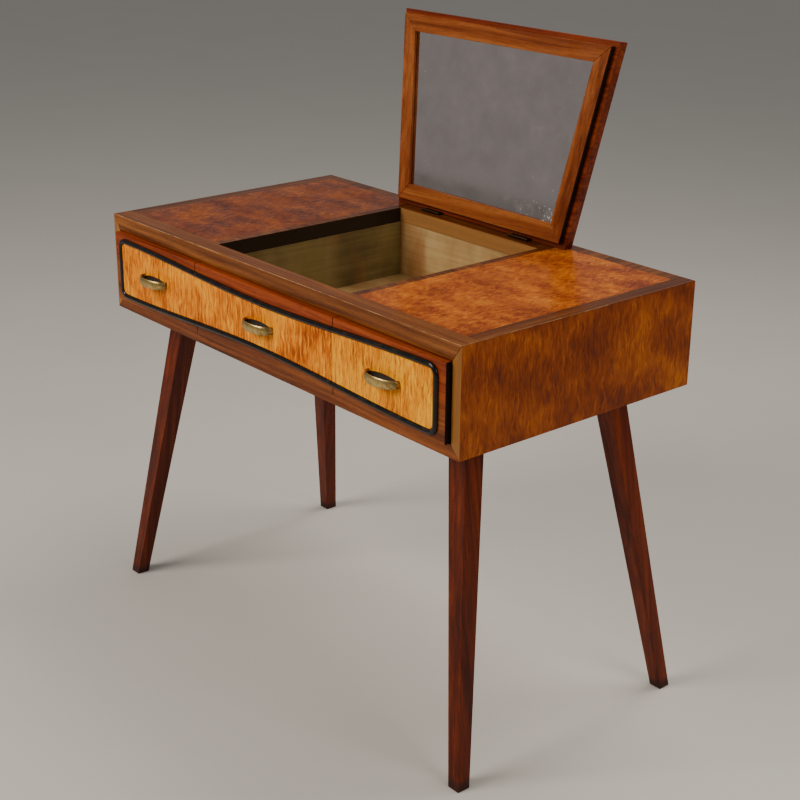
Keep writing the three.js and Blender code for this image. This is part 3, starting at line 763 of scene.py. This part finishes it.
def soften(node, body, finish, width, segments=2):
    work = merged_copy(node)
    edges = [e for e in work.edges if e.is_manifold and e.calc_face_angle() > SHARP]
    bevel_edges(work, edges, width, segments)
    return add_piece("soft_" + node, work, body, finish, [node])


# %% The boards of the case, the drawers and the lid
SIDES = ("left", "right")
MITRED_EDGE = 0.5 * MM  # fine, because these boards meet in mitres
BACK_EDGE = 0.6 * MM
FRONT_EDGE = 0.8 * MM
FRAME_EDGE = 0.9 * MM
LID_EDGE = 1.2 * MM
LEG_EDGE = 1.8 * MM  # legs are knocked the most
soften("top_panel", "case", top_finish, MITRED_EDGE)
soften("bottom_panel", "case", bottom_finish, MITRED_EDGE)
soften("back_panel", "case", back_finish, BACK_EDGE)
soften("centre_front", "case", front_finish, FRONT_EDGE)
for side in SIDES:
    soften(f"side_{side}", "case", end_finish, MITRED_EDGE)
    soften(f"{side}_drawer_front", f"{side}_drawer", front_finish, FRONT_EDGE)
    for place in ("front", "rear"):
        soften(f"leg_{place}_{side}", "case", leg_finish, LEG_EDGE, 3)
soften("lid_panel", "mirror_lid", panel_finish, LID_EDGE, 3)
for edge, finish in frame_finishes.items():
    soften(f"frame_rail_{edge}", "mirror_lid", finish, FRAME_EDGE)

# %% [markdown]
# ## Half-round beads
# The bead round the fields is a half-round moulding bent to the waisted outline. Sweeping a
# section along a curve would work, but the frame already holds the bead as a flat band with
# the right outline, so rounding its two front edges until they nearly meet gives the same
# section with no second outline to keep in step.

# %% Round a bead
BEAD_ROUND = 4.8 * MM
CUT_END = 12 * MM  # an upright edge shorter than this is where a bead was sawn off


def round_bead(node, body):
    work = merged_copy(node)
    face_y = min(v.co.y for v in work.verts)
    on_face = [e for e in work.edges if all(v.co.y < face_y + SAME_POINT for v in e.verts)]
    rims = [e for e in on_face if e.is_manifold and e.calc_face_angle() > radians(60)]
    upright = [e for e in rims if abs(e.verts[0].co.x - e.verts[1].co.x) <= SAME_POINT]
    sawn = [e for e in upright if e.calc_length() <= CUT_END]
    bevel_edges(work, [e for e in rims if e not in sawn], BEAD_ROUND, 5)
    return add_piece("round_" + node, work, body, bead_finish, [node])


beads = [round_bead(f"centre_bead_{place}", "case") for place in ("lower", "upper")]
beads += [round_bead(f"{side}_drawer_bead", f"{side}_drawer") for side in SIDES]
print("beads", [len(bead.data.polygons) for bead in beads], "faces")

# %% [markdown]
# ## Bow pulls
# Each pull is a cast brass bow, a rounded band that swells out of the front and leaves a hollow
# for the fingers. A curve with an oval section could make it, but spinning that section half
# a turn and pressing the bow flatter is shorter, and both ends lie flat on the front. The ends
# are a little lower than the middle, as on a casting.

# %% Spin a pull
PULL_WALL = 3.4 * MM  # half the band's thickness
PULL_END = 0.78  # height of the band's ends, as a share of its middle
OVAL_POINTS = 20
BOW_STEPS = 40


def lay_flat(work):
    """Turns a shape made on the ground so that it looks along Y."""
    bmesh.ops.rotate(work, cent=(0, 0, 0), matrix=Matrix.Rotation(pi / 2, 3, "X"), verts=work.verts)


def spin_pull(node, body):
    low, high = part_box(node)
    middle = (low + high) / 2
    half_width = (high.x - low.x) / 2
    half_height = (high.z - low.z) / 2
    depth = high.y - low.y
    work = bmesh.new()
    bmesh.ops.create_circle(work, cap_ends=True, radius=1.0, segments=OVAL_POINTS)
    bmesh.ops.scale(work, vec=(PULL_WALL, half_height, 1), verts=work.verts)
    lay_flat(work)
    bmesh.ops.translate(work, vec=(half_width - PULL_WALL, 0, 0), verts=work.verts)
    section = work.verts[:] + work.edges[:] + work.faces[:]
    bmesh.ops.spin(
        work,
        geom=section,
        cent=(0, 0, 0),
        axis=(0, 0, -1),
        dvec=(0, 0, 0),
        angle=pi,
        steps=BOW_STEPS,
        use_duplicate=False,
    )
    bmesh.ops.scale(work, vec=(1, depth / half_width, 1), verts=work.verts)
    for vert in work.verts:
        vert.co.z *= PULL_END + (1 - PULL_END) * abs(vert.co.y) / depth
    bmesh.ops.translate(work, vec=(middle.x, high.y, middle.z), verts=work.verts)
    bmesh.ops.recalc_face_normals(work, faces=work.faces)
    return add_piece("cast_" + node, work, body, brass_finish, [node])


# %% The near-black seat behind a pull, part plate and part painted shade
SEAT_THICK = 0.4 * MM
SEAT_LIFT = 0.05 * MM  # clearance between the seat and the end of the pull
SEAT_HEIGHT = 0.84  # as a share of the pull's height


def add_shade_seat(node, body):
    """A thin near-black oval on the veneer in the hollow of a pull: a blackened plate, and painted
    shade for the hollow.
    """
    low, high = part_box(node)
    middle = (low + high) / 2
    half_width = (high.x - low.x) / 2 - PULL_WALL
    half_height = (high.z - low.z) / 2 * SEAT_HEIGHT
    work = bmesh.new()
    bmesh.ops.create_cone(work, cap_ends=True, segments=48, radius1=1, radius2=1, depth=SEAT_THICK)
    bmesh.ops.scale(work, vec=(half_width, half_height, 1), verts=work.verts)
    lay_flat(work)
    y = high.y + SEAT_THICK / 2 + SEAT_LIFT
    bmesh.ops.translate(work, vec=(middle.x, y, middle.z), verts=work.verts)
    return add_piece("seat_" + node, work, body, shade_seat_finish)


pull_bodies = {
    "centre_pull": "case",
    "left_drawer_pull": "left_drawer",
    "right_drawer_pull": "right_drawer",
}
for node, body in pull_bodies.items():
    pull = spin_pull(node, body)
    add_shade_seat(node, body)
    print(pull.name, len(pull.data.polygons), "faces")

# %% [markdown]
# ## Plain nodes keep their shape
# The veneers, the lining, the drawer boxes, the runners, the glass and the hinges are right as
# they are in the frame, so nothing is copied. They only need their finish. It could be given
# node by node, but a part of the node's name is enough to pick it.

# %% Finish the nodes that stay
finish_for = {
    "veneer": field_finish,
    "runner": runner_finish,
    "stop": runner_finish,
    "leg_bolt": steel_finish,
    "mirror_glass": mirror_finish,
    "leaf": hinge_finish,
    "hinge_pin": hinge_finish,
    "well_": lining_finish,
    "drawer_side": lining_finish,
    "drawer_back": lining_finish,
    "drawer_bottom": lining_finish,
}
kept = [(name, obj) for name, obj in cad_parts.items() if not obj.hide_render]
for name, obj in kept:
    finish = next(finish for part, finish in finish_for.items() if part in name)
    obj.data.materials.clear()
    obj.data.materials.append(finish)
print("kept nodes", len(kept))

# %% [markdown]
# ## Screws
# Small domed screw heads hold the back board, and two screws reach the pull of each drawer from
# inside its front. They are cylinders with a rounded rim and a raised bar that reads as a slot,
# too small to matter to the frame, yet a back without them looks unfinished.

# %% One screw head
SCREW_RADIUS = 3.2 * MM
SCREW_HEIGHT = SCREW_RADIUS * 0.35
SCREW_TAPER = 0.82  # radius of a head's face, as a share of its rim
SLOT_WIDTH = 0.35 * MM
BACKWARDS = Vector((0, 1, 0))


def add_screw(name, place, body):
    """A slotted head at `place` that looks backwards."""
    work = bmesh.new()
    bmesh.ops.create_cone(
        work,
        cap_ends=True,
        segments=20,
        radius1=SCREW_RADIUS,
        radius2=SCREW_RADIUS * SCREW_TAPER,
        depth=SCREW_HEIGHT,
    )
    rim = [e for e in work.edges if all(v.co.z > 0 for v in e.verts)]
    bevel_edges(work, rim, SCREW_HEIGHT * 0.4, 2)
    bar = bmesh.ops.create_cube(work, size=1.0)["verts"]
    bmesh.ops.scale(work, vec=(SCREW_RADIUS * 1.5, SLOT_WIDTH, SCREW_HEIGHT * 0.2), verts=bar)
    bmesh.ops.translate(work, vec=(0, 0, SCREW_HEIGHT * 0.5), verts=bar)
    turn = BACKWARDS.to_track_quat("Z", "Y").to_matrix()
    bmesh.ops.rotate(work, cent=(0, 0, 0), matrix=turn, verts=work.verts)
    centre = Vector(place) + BACKWARDS * SCREW_HEIGHT * 0.5
    bmesh.ops.translate(work, vec=centre, verts=work.verts)
    return add_piece(name, work, body, steel_finish)


# %% Screws for the back and the pulls
BACK_COLUMNS = 5
FROM_END = 20 * MM
FROM_EDGE = 12 * MM
SUNK = 1 * MM  # how deep a back screw is driven in
FROM_PULL_END = 4 * MM

back_low, back_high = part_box("back_panel")
first_x = back_low.x + FROM_END
pitch = (back_high.x - FROM_END - first_x) / (BACK_COLUMNS - 1)
for column in range(BACK_COLUMNS):
    for row, z in enumerate((back_low.z + FROM_EDGE, back_high.z - FROM_EDGE)):
        place = (first_x + pitch * column, back_high.y - SUNK, z)
        add_screw(f"back_screw_{column}_{row}", place, "case")

for side in SIDES:
    pull_low, pull_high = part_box(f"{side}_drawer_pull")
    inner_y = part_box(f"{side}_drawer_front")[1].y
    for index, x in enumerate((pull_low.x + FROM_PULL_END, pull_high.x - FROM_PULL_END)):
        add_screw(f"{side}_pull_screw_{index}", (x, inner_y, PULL_Z), f"{side}_drawer")

# %% [markdown]
# ## Floor and room
# The stage is plain, so that nothing competes with the wood. A curved backdrop would hide the
# horizon from one side only, and the table is looked at from all round. So the floor is one
# large pale face whose edge lies far away, in a room that fills the shadows a little.

# %% Floor and room
FLOOR_SIZE = 60
floor_mesh = bpy.data.meshes.new("floor")
work = bmesh.new()
bmesh.ops.create_grid(work, x_segments=1, y_segments=1, size=FLOOR_SIZE)
work.to_mesh(floor_mesh)
work.free()
floor = bpy.data.objects.new("floor", floor_mesh)
bpy.context.scene.collection.objects.link(floor)
floor_recipe = Recipe("pale_floor")
floor_tone = floor_recipe.noise(floor_recipe.vector(*floor_recipe.place()), 3.0, 2.0)
floor_colour = floor_recipe.mix(floor_tone, (0.60, 0.585, 0.56), (0.64, 0.625, 0.60))
floor_mesh.materials.append(floor_recipe.finish(floor_colour, 0.6))

world = bpy.data.worlds.new("soft_room")
world.use_nodes = True
room = world.node_tree.nodes["Background"].inputs
room["Color"].default_value = (0.86, 0.83, 0.79, 1)
room["Strength"].default_value = 0.28
bpy.context.scene.world = world

# %% [markdown]
# ## Lights
# Small lamps would leave hard spots in the polish, so the lights are three broad, warm
# softboxes. The strong one stands to the left of the front and draws the long highlights
# along the rails. A weaker one at the right keeps the end from going black, and a third above
# and behind lays a sheen on the top and on the lid's upper edge.

# %% Lights
WARM = (1.0, 0.91, 0.79)
LOOK_AT = Vector((0, 0, 0.6))


def add_softbox(name, place, size, power, aim=LOOK_AT):
    data = bpy.data.lights.new(name, "AREA")
    data.shape = "SQUARE"
    data.size = size
    data.energy = power
    data.color = WARM
    light = bpy.data.objects.new(name, data)
    light.location = place
    light.rotation_mode = "QUATERNION"
    light.rotation_quaternion = (aim - light.location).to_track_quat("-Z", "Y")
    bpy.context.scene.collection.objects.link(light)
    print("light", name, power, "W")


add_softbox("front_softbox", (-0.9, -3.0, 2.7), 1.8, 112)
add_softbox("right_softbox", (3.0, 0.2, 2.2), 1.5, 30)
add_softbox("top_softbox", (0.3, 1.3, 3.0), 1.6, 45, Vector((0, 0, 0.7)))

# %% [markdown]
# ## Camera
# The camera stands to the right of the front, at the height of a standing person's eyes, and
# looks down a little. A wide lens could stand nearer, but it would make the legs lean and the
# near corner swell, so this one is fairly long and stands further away.

# %% Camera
EYE = Vector((2.062, -1.719, 1.517))
HEADING, DIP, ROLL = radians(49.56), radians(21.27), radians(0.52)
SENSOR, FOCAL_LENGTH = 36, 69.76  # millimetres
lens = bpy.data.cameras.new("camera")
lens.sensor_width = SENSOR
lens.lens = FOCAL_LENGTH
camera = bpy.data.objects.new("camera", lens)
upwards = Matrix.Rotation(pi / 2 - DIP, 4, "X") @ Matrix.Rotation(ROLL, 4, "Z")
turn = Matrix.Rotation(HEADING, 4, "Z") @ upwards
camera.matrix_world = Matrix.Translation(EYE) @ turn
bpy.context.scene.collection.objects.link(camera)
bpy.context.scene.camera = camera
print("camera", [round(v, 2) for v in EYE], FOCAL_LENGTH, "mm")
